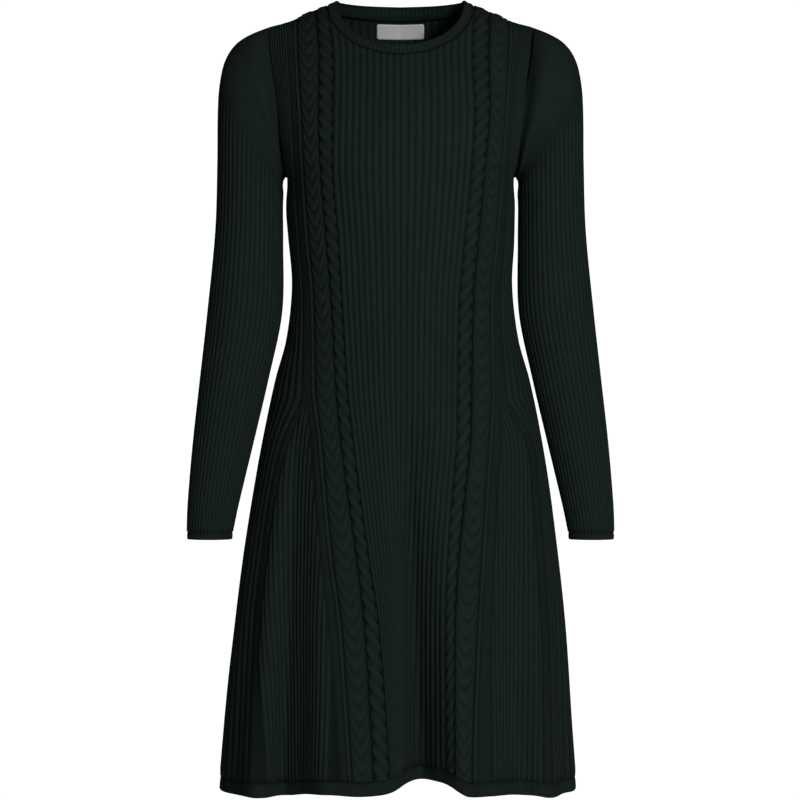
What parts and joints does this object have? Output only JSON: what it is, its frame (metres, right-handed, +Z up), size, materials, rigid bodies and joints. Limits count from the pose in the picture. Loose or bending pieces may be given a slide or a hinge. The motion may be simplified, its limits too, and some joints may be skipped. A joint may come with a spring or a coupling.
{
  "type": "sweater dress",
  "caption": "Long-sleeved ribbed sweater dress with a round ribbed neck, twisted cables down the front and a flared skirt, hollow as worn.",
  "frame": {"origin": "midway between the two points where the neckband meets the shoulder seams, where the wearer's shoulders hold the dress", "axes": "+Z up along the dress, -Y towards its front, +X to the right as seen from the front"},
  "size_m": [0.5084, 0.2929, 0.9433],
  "materials": {
    "yarn": "soft matte knitted yarn, very dark green",
    "label_cloth": "smooth pale woven tape"
  },
  "bodies": {
    "root": {"front": "yarn", "back": "yarn", "neckband": "yarn", "hem_band": "yarn", "sleeve_left": "yarn", "sleeve_right": "yarn", "cuff_left": "yarn", "cuff_right": "yarn", "label": "label_cloth"}
  },
  "joints": []
}
